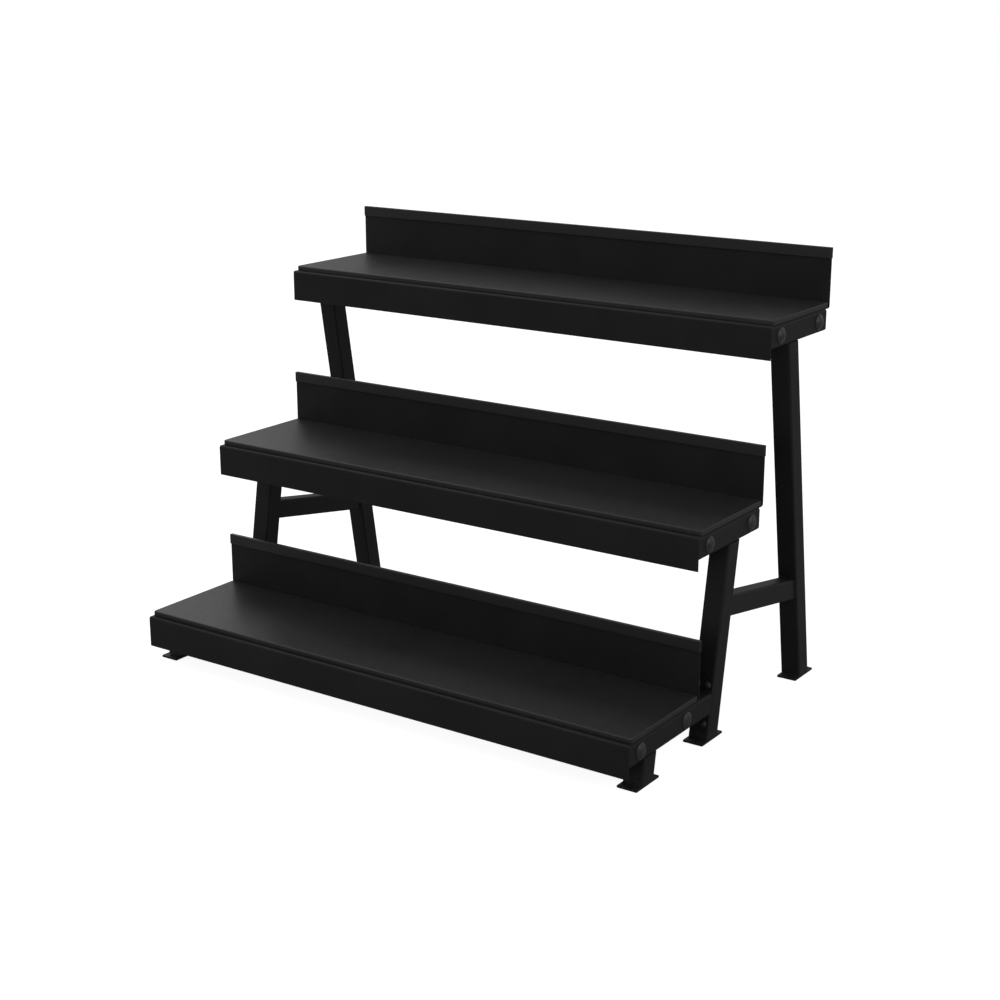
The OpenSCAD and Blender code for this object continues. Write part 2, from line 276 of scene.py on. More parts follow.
class Value:
    """A number, colour or vector that varies over a surface, with arithmetic for the numbers."""

    def __init__(self, graph, socket):
        self.graph = graph
        self.socket = socket

    def maths(self, operation, *numbers):
        """One Math node on this number and others."""
        return self.graph.node("Math", {"operation": operation}, dict(enumerate(numbers)))

    def __add__(self, other):
        return self.maths("ADD", self, other)

    def __sub__(self, other):
        return self.maths("SUBTRACT", self, other)

    def __rsub__(self, other):
        return self.maths("SUBTRACT", other, self)

    def __mul__(self, other):
        return self.maths("MULTIPLY", self, other)

    __radd__ = __add__
    __rmul__ = __mul__

    def ramp(self, low, high, to_low=0.0, to_high=1.0):
        """Maps low..high smoothly on to to_low..to_high, and holds it there outside."""
        settings = {"interpolation_type": "SMOOTHSTEP"}
        return self.graph.node("MapRange", settings, {0: self, 1: low, 2: high, 3: to_low, 4: to_high})


class Graph:
    """The nodes of one material or world."""

    def __init__(self, owner):
        owner.use_nodes = True
        self.owner = owner
        self.tree = owner.node_tree
        self.tree.nodes.clear()

    def node(self, kind, settings=None, sockets=None, output=0):
        """Adds a node, sets it, feeds its sockets with values or links, and returns one output."""
        made = self.tree.nodes.new("ShaderNode" + kind)
        for name, setting in (settings or {}).items():
            setattr(made, name, setting)
        for name, fed in (sockets or {}).items():
            if isinstance(fed, Value):
                self.tree.links.new(fed.socket, made.inputs[name])
            else:
                made.inputs[name].default_value = fed
        return Value(self, made.outputs[output])

    def place(self, stretch=(1, 1, 1)):
        """The point on the object, in metres, stretched along its axes."""
        point = self.node("TexCoord", output="Object")
        if tuple(stretch) == (1, 1, 1):
            return point
        return self.node("Mapping", {"vector_type": "POINT"}, {"Vector": point, "Scale": stretch})

    def noise(self, scale, detail=2.0, stretch=(1, 1, 1)):
        """Cloudy noise, by how fine it is and how many finer layers it holds."""
        sockets = {"Vector": self.place(stretch), "Scale": scale, "Detail": detail}
        return self.node("TexNoise", None, sockets)

    def blend(self, share, first, second):
        """Mixes two colours."""
        return self.node("Mix", {"data_type": "RGBA"}, {0: share, 6: first, 7: second}, output=2)

    def bump(self, height, distance, strength=1.0):
        """Small relief, by its height map and its depth in metres."""
        return self.node("Bump", None, {"Height": height, "Distance": distance, "Strength": strength})

    def finish(self, shader, kind="OutputMaterial"):
        """Ends the graph with its shader."""
        end = self.tree.nodes.new("ShaderNode" + kind)
        self.tree.links.new(shader.socket, end.inputs["Surface"])
        return self.owner

    def surface(self, **sockets):
        """Ends the graph with a Principled BSDF, fed by the sockets that are named."""
        fed = {name.replace("_", " "): value for name, value in sockets.items()}
        return self.finish(self.node("BsdfPrincipled", None, fed))


def shade(colour, share):
    """A colour made lighter or darker, as four numbers."""
    return (*[channel * share for channel in colour], 1)


def powder_coat(finish):
    """Satin black powder coat: orange peel, faint mottling, a thinner coat on the edges, and painted light
    that makes it lighter towards the floor.
    """
    graph = Graph(bpy.data.materials.new(COAT + FINISH_TAG))
    peel = graph.noise(420, 2)
    grain = graph.noise(2600, 1)
    cloud = graph.noise(7, 4)
    scuff = graph.noise(90, 5).ramp(0.45, 0.7)
    edge = graph.node("Attribute", {"attribute_name": "edge"}, output="Fac") * (0.35 + 0.65 * scuff)
    colour = graph.blend(cloud.ramp(0.35, 0.65), shade(finish.coat, 0.9), shade(finish.coat, 1.12))
    worn = graph.blend(edge * 0.2, colour, shade(finish.coat, 1.9))
    # Painted light: over the lowest few centimetres the steel turns lighter, patchy with the scuffs,
    # standing in for the light that falls on the feet and foot plates
    height = graph.node("SeparateXYZ", None, {"Vector": graph.place()}, output="Z")
    floor_light_share = height.ramp(finish.floor_light_height, 0) * (0.5 + 0.5 * scuff)
    dust_and_floor_light = graph.blend(floor_light_share, worn, shade(finish.dust, 1))
    roughness = finish.coat_roughness + 0.09 * (cloud - 0.5) + 0.05 * (grain - 0.5) - 0.04 * edge
    normal = graph.bump(peel + 0.25 * grain, 0.12 * MM)
    reflection = {"Specular_IOR_Level": finish.coat_reflection}
    return graph.surface(Base_Color=dust_and_floor_light, Roughness=roughness, Normal=normal, **reflection)


def rubber(finish):
    """Vulcanised rubber mat: fine moulded grain with a little dust in it, and a painted highlight on its
    rounded edges.
    """
    graph = Graph(bpy.data.materials.new(RUBBER + FINISH_TAG))
    grain = graph.noise(1500, 3)
    cloud = graph.noise(5, 4)
    dust = graph.noise(60, 6).ramp(0.5, 0.75)
    colour = graph.blend(cloud.ramp(0.3, 0.7), shade(finish.rubber, 0.88), shade(finish.rubber, 1.12))
    dust_and_floor_light = graph.blend(dust * 0.35, colour, shade(finish.rubber, 1.8))
    # Painted highlight: the mats' rounded edges are much lighter and a little glossier, standing in for the
    # highlight along their front edges
    edge = graph.node("Attribute", {"attribute_name": "edge"}, output="Fac")
    rubbed_and_highlit = graph.blend(edge * 0.7, dust_and_floor_light, shade(finish.rubber, 2.4))
    roughness = finish.rubber_roughness + 0.06 * (cloud - 0.5) + 0.06 * dust - 0.06 * edge
    normal = graph.bump(grain, 0.1 * MM)
    return graph.surface(Base_Color=rubbed_and_highlit, Roughness=roughness, Normal=normal)


def plastic(finish):
    """Extruded and moulded plastic: drawn lines along the rack over a fine grain."""
    graph = Graph(bpy.data.materials.new(PLASTIC + FINISH_TAG))
    lines = graph.noise(700, 2, stretch=(0.004, 1, 1))
    grain = graph.noise(1800, 1)
    cloud = graph.noise(9, 3)
    colour = graph.blend(lines.ramp(0.3, 0.7), shade(finish.plastic, 0.92), shade(finish.plastic, 1.1))
    roughness = finish.plastic_roughness + 0.06 * (lines - 0.5) + 0.06 * (cloud - 0.5)
    normal = graph.bump(lines + 0.3 * grain, 0.06 * MM)
    return graph.surface(Base_Color=colour, Roughness=roughness, Normal=normal)


def fastener(finish):
    """Black coated steel: tighter and glossier than the powder coat, worn lighter on its edges."""
    graph = Graph(bpy.data.materials.new(FASTENER + FINISH_TAG))
    grain = graph.noise(1400, 2)
    cloud = graph.noise(60, 3)
    edge = graph.node("Attribute", {"attribute_name": "edge"}, output="Fac")
    colour = graph.blend(cloud.ramp(0.35, 0.7), shade(finish.fastener, 0.85), shade(finish.fastener, 1.2))
    rubbed_and_highlit = graph.blend(edge * 0.5, colour, shade(finish.fastener, 3))
    roughness = finish.fastener_roughness + 0.08 * (cloud - 0.5)
    normal = graph.bump(grain, 0.05 * MM)
    return graph.surface(Base_Color=rubbed_and_highlit, Roughness=roughness, Normal=normal)


FINISHES = {COAT: powder_coat, RUBBER: rubber, PLASTIC: plastic, FASTENER: fastener}


def finish_material(slot):
    """The material of a slot, made the first time it is asked for."""
    return bpy.data.materials.get(slot + FINISH_TAG) or FINISHES[slot](bpy.context.scene.rack_finish)


# ---- modelling helpers ----

# Two lengths closer than this, in metres, are taken as the same
NEAR = 1e-5

# Steps around a fold, rings of a domed head and turns of thread at a bolt's end
FOLD_STEPS = 6
DOME_RINGS = 8
THREADS = 3

# Shares of a thread's or a bead's radius, and the turn below which faces are merged
THREAD_ROOT = 0.87
BEAD_END = 0.45
BEAD_SHOULDER = 0.8
BEAD_VALLEY = 0.84
SOFT_TURN = math.radians(0.5)

# How finely round pieces are made
HEAD_SIDES = 48
NUT_SIDES = 72
WASHER_SIDES = 64
HOLE_SIDES = 48
BEAD_SIDES = 10

# Turns and directions
UPRIGHT = (math.radians(90), 0, 0)
FACING_X = (math.radians(90), 0, math.radians(90))
ACROSS_X = (0, 1, 1)


def only(piece=None):
    """Selects one piece and nothing else, in object mode."""
    if bpy.context.object and bpy.context.object.mode != "OBJECT":
        bpy.ops.object.mode_set(mode="OBJECT")
    bpy.ops.object.select_all(action="DESELECT")
    if piece:
        piece.select_set(True)
        bpy.context.view_layer.objects.active = piece


def settle():
    """Puts the new piece's place, turn and size into its mesh."""
    bpy.ops.object.transform_apply(location=True, rotation=True, scale=True)
    return bpy.context.object


def block(low, high):
    """A box between two corners."""
    only()
    low, high = Vector(low), Vector(high)
    bpy.ops.mesh.primitive_cube_add(size=1, location=(low + high) / 2, scale=high - low)
    return settle()


def sheet_at(place, size, turn=(0, 0, 0)):
    """A flat rectangle, by its middle, its two sizes and its turn."""
    only()
    bpy.ops.mesh.primitive_plane_add(size=1, location=place, rotation=turn)
    bpy.context.object.scale = (*size, 1)
    return settle()


@contextmanager
def editing(piece):
    """Edit mode on one piece, with nothing selected at the start."""
    only(piece)
    bpy.ops.object.mode_set(mode="EDIT")
    bpy.ops.mesh.select_all(action="DESELECT")
    yield piece
    bpy.ops.object.mode_set(mode="OBJECT")


def pick_faces(test):
    """Selects the faces whose middle and normal pass a test."""
    bpy.ops.mesh.select_mode(type="FACE")
    bpy.ops.mesh.select_all(action="DESELECT")
    mesh = bmesh.from_edit_mesh(bpy.context.object.data)
    for face in mesh.faces:
        face.select_set(test(face.calc_center_median(), face.normal))
    mesh.select_flush_mode()
    bmesh.update_edit_mesh(bpy.context.object.data)


def pick_edges(test):
    """Selects the edges whose two ends pass a test."""
    bpy.ops.mesh.select_mode(type="EDGE")
    bpy.ops.mesh.select_all(action="DESELECT")
    mesh = bmesh.from_edit_mesh(bpy.context.object.data)
    for edge in mesh.edges:
        edge.select_set(test(*[vertex.co for vertex in edge.verts]))
    mesh.select_flush_mode()
    bmesh.update_edit_mesh(bpy.context.object.data)


def near(first, second):
    """Whether two numbers are the same, but for rounding."""
    return abs(first - second) < NEAR


def runs_along(axis, first, second):
    """Whether an edge runs along one axis, 0 to 2 for X to Z."""
    return all(near(first[i], second[i]) for i in range(3) if i != axis)


def extrude_faces(move):
    """Extrudes the selected faces, and leaves their far copies selected."""
    bpy.ops.mesh.extrude_region_move(TRANSFORM_OT_translate={"value": move})


def extrude_edges(move):
    """Extrudes the selected edges, and leaves their far copies selected."""
    bpy.ops.mesh.extrude_edges_move(TRANSFORM_OT_translate={"value": move})


def fold_edges(centre, axis):
    """Turns the selected edges through a right angle, and leaves a skin behind them."""
    bpy.ops.mesh.spin(steps=FOLD_STEPS, angle=math.radians(90), center=centre, axis=axis)


def swell(ratio, axes=(1, 1, 1), about=None):
    """Scales the selection about a point, along the axes that are 1."""
    value = [1 + (ratio - 1) * axis for axis in axes]
    bpy.ops.transform.resize(value=value, center_override=about or (0, 0, 0))


def bevel_edges(width, segments):
    """Rounds the selected edges."""
    bpy.ops.mesh.bevel(offset=width, segments=segments, affect="EDGES", clamp_overlap=True)


def modify(piece, kind, **settings):
    """Adds a modifier and applies it."""
    only(piece)
    modifier = piece.modifiers.new(kind.lower(), kind)
    for name, setting in settings.items():
        setattr(modifier, name, setting)
    bpy.ops.object.modifier_apply(modifier=modifier.name)


def thicken(piece, thickness, offset=-1.0):
    """Gives a shell its wall, on the back of its faces."""
    modify(piece, "SOLIDIFY", thickness=thickness, offset=offset, use_even_offset=True)


def round_edges(piece, width, segments=2, sharper_than=40):
    """Rounds the sharp edges, marks the rounded ones for wear, and shades the rest smooth."""
    modify(
        piece, "BEVEL", width=width, segments=segments, limit_method="ANGLE",
        angle_limit=math.radians(sharper_than), use_clamp_overlap=True,
    )
    mark_edges(piece, width)
    smooth(piece)


def smooth(piece, angle=35):
    """Shades the gentle turns smooth, and keeps the wide faces flat to the eye."""
    only(piece)
    bpy.ops.object.shade_smooth_by_angle(angle=math.radians(angle))
    modify(piece, "WEIGHTED_NORMAL", mode="FACE_AREA", keep_sharp=True)


def mark_edges(piece, width):
    """Writes 1 on the points that lie between narrow faces only, which are the rounded edges."""
    mesh = piece.data
    wide = set()
    for face in mesh.polygons:
        rim = sum((mesh.vertices[a].co - mesh.vertices[b].co).length for a, b in face.edge_keys)
        if 2 * face.area / rim > width:
            wide.update(face.vertices)
    marks = mesh.attributes.new("edge", "FLOAT", "POINT")
    for vertex in mesh.vertices:
        marks.data[vertex.index].value = 0.0 if vertex.index in wide else 1.0


def outward(piece):
    """Turns all the faces outwards."""
    with editing(piece):
        bpy.ops.mesh.select_all(action="SELECT")
        bpy.ops.mesh.normals_make_consistent(inside=False)


def join(name, pieces):
    """Joins pieces into one, under a new name."""
    only(pieces[0])
    for piece in pieces:
        piece.select_set(True)
    if len(pieces) > 1:
        bpy.ops.object.join()
    pieces[0].name = name
    pieces[0].data.name = name
    return pieces[0]


def placed(model, place, turn=(0, 0, 0)):
    """A copy of a model, with its own mesh, turned and put in its place."""
    only(model)
    bpy.ops.object.duplicate(linked=False)
    made = bpy.context.object
    made.rotation_euler = turn
    made.location = place
    return settle()


def repeat(name, model, places):
    """Copies a model made about the origin to each place and turn, and joins the copies."""
    made = [placed(model, *where) for where in places]
    bpy.data.objects.remove(model)
    return join(name, made)


def drill(piece, place, radius, depth, turn=(0, 0, 0)):
    """Cuts a round hole."""
    only()
    bpy.ops.mesh.primitive_cylinder_add(
        vertices=HOLE_SIDES, radius=radius, depth=depth, location=place, rotation=turn
    )
    cutter = settle()
    modify(piece, "BOOLEAN", operation="DIFFERENCE", solver="EXACT", object=cutter)
    bpy.data.objects.remove(cutter)


def paint(piece, slot):
    """Gives a piece one finish all over."""
    material = finish_material(slot)
    if not piece.material_slots:
        piece.data.materials.append(material)
    for held in piece.material_slots:
        held.material = material


def fit(piece, slot, *nodes):
    """Finishes a new piece: it takes its slot's finish, rides on the frame and stands for its nodes."""
    paint(piece, slot)
    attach(piece, "root")
    if nodes:
        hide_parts(*nodes)
    return piece


def solids(node):
    """The boxes of a node's separate solids, from left to right and front to back."""
    held = frame["nodes"][node].data
    mesh = bmesh.new()
    mesh.from_mesh(held)
    bmesh.ops.remove_doubles(mesh, verts=mesh.verts, dist=NEAR)
    left = set(mesh.verts)
    boxes = []
    while left:
        reached = [left.pop()]
        for vertex in reached:
            for edge in vertex.link_edges:
                other = edge.other_vert(vertex)
                if other in left:
                    left.remove(other)
                    reached.append(other)
        low = Vector([min(vertex.co[axis] for vertex in reached) for axis in range(3)])
        high = Vector([max(vertex.co[axis] for vertex in reached) for axis in range(3)])
        boxes.append((low, high))
    mesh.free()
    return sorted(boxes, key=lambda box: (round(box[0].x, 3), round(box[0].y, 3), round(box[0].z, 3)))


def softened(node, name, width):
    """A merged copy of a node with its sharp edges rounded."""
    only()
    piece = bpy.data.objects.new(name, frame["nodes"][node].data.copy())
    bpy.context.collection.objects.link(piece)
    with editing(piece):
        bpy.ops.mesh.select_all(action="SELECT")
        bpy.ops.mesh.remove_doubles(threshold=NEAR)
        bpy.ops.mesh.dissolve_limited(angle_limit=SOFT_TURN)
    round_edges(piece, width)
    return piece


# ---- pieces ----


def folded_tray(tier, sizes):
    """One sheet, folded down at the front and up at the back, with a slightly wider fascia."""
    low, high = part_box(f"{tier}_tray")
    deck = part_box(f"{tier}_mat")[0].z
    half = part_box(f"{tier}_edge_trim")[1].x
    outer = sizes.fold + sizes.sheet
    fascia_top = deck - outer
    deck_rear = high.y - outer
    middle = (0, low.y, (low.z + fascia_top) / 2)
    tray = sheet_at(middle, (high.x - low.x, fascia_top - low.z), UPRIGHT)
    with editing(tray):
        for side in (-1, 1):
            bpy.ops.mesh.select_all(action="SELECT")
            bpy.ops.mesh.bisect(plane_co=(side * half, 0, 0), plane_no=(1, 0, 0))
        pick_edges(lambda a, b: near(a.z, fascia_top) and near(b.z, fascia_top))
        fold_edges((0, low.y + outer, fascia_top), (1, 0, 0))
        pick_edges(lambda a, b: all(near(end.z, deck) and near(abs(end.x), half) for end in (a, b)))
        extrude_edges((0, deck_rear - low.y - outer, 0))
        fold_edges((0, deck_rear, deck + sizes.fold), (-1, 0, 0))
        extrude_edges((0, 0, high.z - deck - sizes.fold))
        bpy.ops.mesh.select_all(action="SELECT")
        bpy.ops.mesh.remove_doubles(threshold=NEAR)
        bpy.ops.mesh.normals_make_consistent(inside=False)
    if tray.data.polygons[0].normal.y > 0:
        with editing(tray):
            bpy.ops.mesh.select_all(action="SELECT")
            bpy.ops.mesh.flip_normals()
    thicken(tray, sizes.sheet)
    round_edges(tray, sizes.edge, 2)
    return join(f"{tier}_folded_tray", [tray])


def rubber_mat(tier, sizes):
    """A moulded mat with round corners and softly rounded edges."""
    low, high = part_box(f"{tier}_mat")
    mat = block(low, high)
    with editing(mat):
        pick_edges(lambda a, b: runs_along(2, a, b))
        bevel_edges(sizes.mat_corner, 6)
        pick_edges(lambda a, b: near(a.z, high.z) and near(b.z, high.z))
        bevel_edges(sizes.mat_edge, 5)
        pick_edges(lambda a, b: near(a.z, low.z) and near(b.z, low.z))
        bevel_edges(sizes.mat_foot, 3)
    mark_edges(mat, sizes.edge)
    smooth(mat)
    return join(f"{tier}_rubber_mat", [mat])


def trim_strip(tier, sizes):
    """An extruded channel that is pushed down over the back plate's edge."""
    low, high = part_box(f"{tier}_edge_trim")
    plate_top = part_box(f"{tier}_tray")[1].z
    wall = high.z - plate_top
    width = high.x - low.x
    height = plate_top - low.z + wall / 2
    front = (0, low.y + wall / 2, low.z + height / 2)
    strip = sheet_at(front, (width, height), UPRIGHT)
    top = low.z + height
    with editing(strip):
        pick_edges(lambda a, b: near(a.z, top) and near(b.z, top))
        extrude_edges((0, high.y - low.y - wall, 0))
        extrude_edges((0, 0, -height))
        bpy.ops.mesh.select_all(action="SELECT")
        bpy.ops.mesh.normals_make_consistent(inside=False)
    thicken(strip, wall, 0.0)
    outward(strip)
    round_edges(strip, sizes.trim_edge, 3)
    return join(f"{tier}_trim_strip", [strip])


def domed_bolt(radius, height, shank, length, sizes):
    """A bolt on the plane x = 0: its domed head towards +X, its shank and thread towards -X."""
    only()
    bpy.ops.mesh.primitive_circle_add(
        vertices=HEAD_SIDES, radius=radius, fill_type="NGON", rotation=FACING_X
    )
    bolt = settle()
    rim = sizes.head_rim
    dome = height - rim
    dome_r = (radius * radius + dome * dome) / (2 * dome)
    arc = math.asin(radius / dome_r)
    with editing(bolt):
        bpy.ops.mesh.select_all(action="SELECT")
        extrude_faces((rim, 0, 0))
        at, wide = rim, radius
        for ring in range(1, DOME_RINGS):
            angle = arc * (1 - ring / DOME_RINGS)
            rise = rim + dome_r * math.cos(angle) - (dome_r - dome)
            extrude_faces((rise - at, 0, 0))
            swell(dome_r * math.sin(angle) / wide, ACROSS_X)
            at, wide = rise, dome_r * math.sin(angle)
        extrude_faces((height - at, 0, 0))
        bpy.ops.mesh.merge(type="CENTER")
        pick_edges(lambda a, b: near(a.x, rim) and near(b.x, rim))
        bevel_edges(sizes.edge, 3)
        pick_faces(lambda middle, normal: near(middle.x, 0) and near(middle.y, 0) and near(middle.z, 0))
        bpy.ops.mesh.inset(thickness=radius - shank)
        extrude_faces((-(length - THREADS * sizes.pitch - sizes.pitch / 2), 0, 0))
        wide = 1
        for turn in range(2 * THREADS):
            ratio = THREAD_ROOT if turn % 2 == 0 else 1
            extrude_faces((-sizes.pitch / 2, 0, 0))
            swell(ratio / wide, ACROSS_X)
            wide = ratio
        extrude_faces((-sizes.pitch / 2, 0, 0))
        swell(THREAD_ROOT, ACROSS_X)
    outward(bolt)
    mark_edges(bolt, sizes.edge / 2)
    smooth(bolt)
    return bolt


def hex_nut(across_corners, thickness, bore):
    """A nut with chamfered corners, its axis along X and two corners up and down."""
    only()
    bpy.ops.mesh.primitive_cylinder_add(
        vertices=NUT_SIDES, radius=across_corners / 2, depth=thickness, rotation=FACING_X
    )
    nut = settle()
    flat = across_corners / 2 * math.cos(math.radians(30))
    with editing(nut):
        pick_edges(lambda a, b: near(a.x, b.x))
        bevel_edges(across_corners / 2 - flat, 1)
        for side in range(6):
            angle = math.radians(60 * side)
            outside = (0, math.cos(angle), math.sin(angle))
            bpy.ops.mesh.select_all(action="SELECT")
            on_flat = [flat * part for part in outside]
            bpy.ops.mesh.bisect(plane_co=on_flat, plane_no=outside, clear_outer=True, use_fill=True)
    outward(nut)
    drill(nut, (0, 0, 0), bore, 2 * thickness, FACING_X)
    smooth(nut, 25)
    return nut


def flat_washer(radius, thickness, bore, sizes):
    """A flat ring about X with softened edges."""
    only()
    bpy.ops.mesh.primitive_cylinder_add(
        vertices=WASHER_SIDES, radius=radius, depth=thickness, rotation=FACING_X
    )
    washer = settle()
    drill(washer, (0, 0, 0), bore, 2 * thickness, FACING_X)
    round_edges(washer, sizes.edge / 2)
    return washer


def facing_out(node, inward=0.0):
    """Where a node's solids stand on the outer faces of the arms, and the turn that faces each outwards."""
    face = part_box("right_top_arm")[1].x - inward
    places = []
    for low, high in solids(node):
        side = 1 if low.x > 0 else -1
        middle = (low + high) / 2
        places.append(((side * face, middle.y, middle.z), (0, 0, 0 if side > 0 else math.pi)))
    return places


def tray_fasteners(tier, sizes):
    """The tier's four bolts, washers and nuts."""
    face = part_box("right_top_arm")[1].x
    low, high = solids(f"{tier}_bolts")[-1]
    shank = sizes.bolt / 2
    bolt = domed_bolt((high.y - low.y) / 2, high.x - face, shank, face - low.x, sizes)
    fit(repeat(f"{tier}_domed_bolts", bolt, facing_out(f"{tier}_bolts")), FASTENER, f"{tier}_bolts")
    low, high = solids(f"{tier}_washers")[-1]
    washer = flat_washer((high.y - low.y) / 2, high.x - low.x, shank + sizes.play, sizes)
    places = facing_out(f"{tier}_washers", face - (low.x + high.x) / 2)
    fit(repeat(f"{tier}_flat_washers", washer, places), FASTENER, f"{tier}_washers")
    low, high = solids(f"{tier}_nuts")[-1]
    nut = hex_nut(high.z - low.z, high.x - low.x, shank + sizes.thread_gap)
    places = facing_out(f"{tier}_nuts", face - (low.x + high.x) / 2)
    fit(repeat(f"{tier}_hex_nuts", nut, places), FASTENER, f"{tier}_nuts")


def arm_cap(side, tier, sizes):
    """A plastic cap: a flange over the tube's end with a shallow panel, and a hollow spigot inside it."""
    node = f"{side}_{tier}_arm_cap"
    low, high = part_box(node)
    arm_low, arm_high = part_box(f"{side}_{tier}_arm")
    flange = arm_high.y
    cap = block((arm_low.x, flange, arm_low.z), (arm_high.x, high.y, arm_high.z))
    spigot = flange - low.y
    with editing(cap):
        pick_edges(lambda a, b: runs_along(1, a, b))
        bevel_edges(sizes.tube_corner, 6)
        pick_edges(lambda a, b: near(a.y, high.y) and near(b.y, high.y))
        bevel_edges(sizes.cap_edge, 3)
        pick_faces(lambda middle, normal: normal.y > 0.99 and near(middle.y, high.y))
        bpy.ops.mesh.inset(thickness=sizes.cap_border)
        bpy.ops.mesh.inset(thickness=sizes.cap_recess)
        bpy.ops.transform.translate(value=(0, -sizes.cap_recess, 0))
        pick_faces(lambda middle, normal: normal.y < -0.99)
        bpy.ops.mesh.inset(thickness=sizes.tube_wall + sizes.cap_gap)
        extrude_faces((0, -spigot, 0))
        bpy.ops.mesh.inset(thickness=sizes.cap_wall)
        extrude_faces((0, spigot - sizes.cap_wall, 0))
    outward(cap)
    mark_edges(cap, sizes.edge)
    smooth(cap)
    return fit(join(f"{side}_{tier}_end_cap", [cap]), PLASTIC, node)


def foot_plate(side, leg, sizes):
    """A foot plate with a hole for a floor anchor in each ear."""
    node = f"{side}_{leg}_foot"
    low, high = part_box(node)
    anchors = next(m for m in frame["record"]["mounts"] if m["name"] == f"{leg}_floor_anchors")
    reach = anchors["dims"]["spacing_y_mm"] * MM / 2
    radius = anchors["dims"]["hole_r_mm"] * MM
    middle = (low + high) / 2
    plate = block(low, high)
    with editing(plate):
        pick_edges(lambda a, b: runs_along(2, a, b))
        bevel_edges(sizes.plate_corner, 3)
    for ear in (-1, 1):
        drill(plate, (middle.x, middle.y + ear * reach, middle.z), radius, 3 * (high.z - low.z))
    round_edges(plate, sizes.edge)
    return fit(join(f"{side}_{leg}_foot_plate", [plate]), COAT, node)


def weld_bead(length, sizes):
    """A rippled bead along X, thinner at its two ends, its middle on the origin."""
    steps = 2 * round(length / sizes.ripple / 2) + 1
    step = length / steps
    only()
    bpy.ops.mesh.primitive_circle_add(
        vertices=BEAD_SIDES, radius=sizes.bead * BEAD_END, fill_type="NGON",
        location=(-length / 2, 0, 0), rotation=FACING_X,
    )
    bead = settle()
    with editing(bead):
        bpy.ops.mesh.select_all(action="SELECT")
        wide = BEAD_END
        for ring in range(1, steps + 1):
            from_end = min(ring, steps - ring)
            full = 1.0 if ring % 2 else BEAD_VALLEY
            wanted = (BEAD_END, BEAD_SHOULDER)[from_end] if from_end < 2 else full
            extrude_faces((step, 0, 0))
            swell(wanted / wide, ACROSS_X)
            wide = wanted
    outward(bead)
    smooth(bead, 60)
    return bead


class Welder:
    """Lays weld beads between points and joins them into one piece."""

    def __init__(self, sizes):
        self.sizes = sizes
        self.models = {}
        self.beads = []

    def run(self, start, end):
        """A bead from one point to another."""
        start, end = Vector(start), Vector(end)
        length = round((end - start).length, 4)
        if length not in self.models:
            self.models[length] = weld_bead(length, self.sizes)
        turn = (end - start).to_track_quat("X", "Z").to_euler()
        self.beads.append(placed(self.models[length], (start + end) / 2, turn))

    def across(self, box, y, z):
        """A bead across a tube, at a place seen from the side, short of the tube's round corners."""
        inset = self.sizes.tube_corner - self.sizes.bead / 2
        self.run((box[0].x + inset, y, z), (box[1].x - inset, y, z))

    def stitches(self, x, z, front, rear):
        """Three short beads along an edge that runs front to back."""
        pitch = (rear - front - 2 * self.sizes.stitch_margin - self.sizes.stitch) / 2
        for count in range(3):
            start = front + self.sizes.stitch_margin + count * pitch
            self.run((x, start, z), (x, start + self.sizes.stitch, z))

    def done(self, name):
        """Joins the beads into one finished piece."""
        for model in self.models.values():
            bpy.data.objects.remove(model)
        return fit(join(name, self.beads), COAT)


def leg_welds(welder, side, leg, sizes):
    """Beads in front of and behind a leg, on its foot and under its arm."""
    low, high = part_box(f"{side}_{leg}_leg")
    sit = sizes.bead * sizes.bead_sit
    depth = (high.x - low.x) / math.cos(sizes.lean)
    leans_back = leg != "rear"
    foot_front = low.y if leans_back else high.y - depth
    arm_front = high.y - depth if leans_back else low.y
    for front, z in ((foot_front, low.z + sit), (arm_front, high.z - sit)):
        welder.across((low, high), front - sit, z)
        welder.across((low, high), front + depth + sit, z)


def tie_welds(welder, side, sizes):
    """Beads all round both ends of a tie: square on the middle leg, mitred on the rear leg."""
    low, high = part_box(f"{side}_tie")
    back, up = math.sin(sizes.lean), math.cos(sizes.lean)
    tall = sizes.tie_height
    mitred = tall / math.cos(2 * sizes.lean)
    sit = sizes.bead * sizes.bead_sit
    ends = (
        ((low.y, high.z - tall * up), (low.y + tall * back, high.z), 1),
        ((high.y, low.z), (high.y - mitred * back, low.z + mitred * up), -1),
    )
    inset = sizes.tube_corner - sizes.bead / 2
    for (low_y, low_z), (high_y, high_z), away in ends:
        welder.across((low, high), low_y + away * sit, low_z - sit)
        welder.across((low, high), high_y + away * sit, high_z + sit)
        up_leg = Vector((0, high_y - low_y, high_z - low_z)).normalized() * inset
        for x in (low.x - sit, high.x + sit):
            start = Vector((x, low_y + away * sit, low_z)) + up_leg
            welder.run(start, Vector((x, high_y + away * sit, high_z)) - up_leg)


def plate_welds(welder, side, sizes):
    """Beads above and below the bottom arm, on the leaning end plate."""
    low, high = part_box(f"{side}_end_plate")
    arm_low, arm_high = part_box(f"{side}_bottom_arm")
    sit = sizes.bead * sizes.bead_sit
    slope = math.tan(sizes.lean)
    length = (high.z - low.z - sizes.end_plate * math.sin(sizes.lean)) / math.cos(sizes.lean)
    foot_z = high.z - length * math.cos(sizes.lean)
    for z in (arm_low.z - sit, arm_high.z + sit):
        welder.across((low, high), low.y + (z - foot_z) * slope - sit, z)


def frame_welds(side, sizes):
    """All the beads of one side frame."""
    welder = Welder(sizes)
    for leg in LEGS:
        leg_welds(welder, side, leg, sizes)
    tie_welds(welder, side, sizes)
    plate_welds(welder, side, sizes)
    return welder.done(f"{side}_frame_welds")


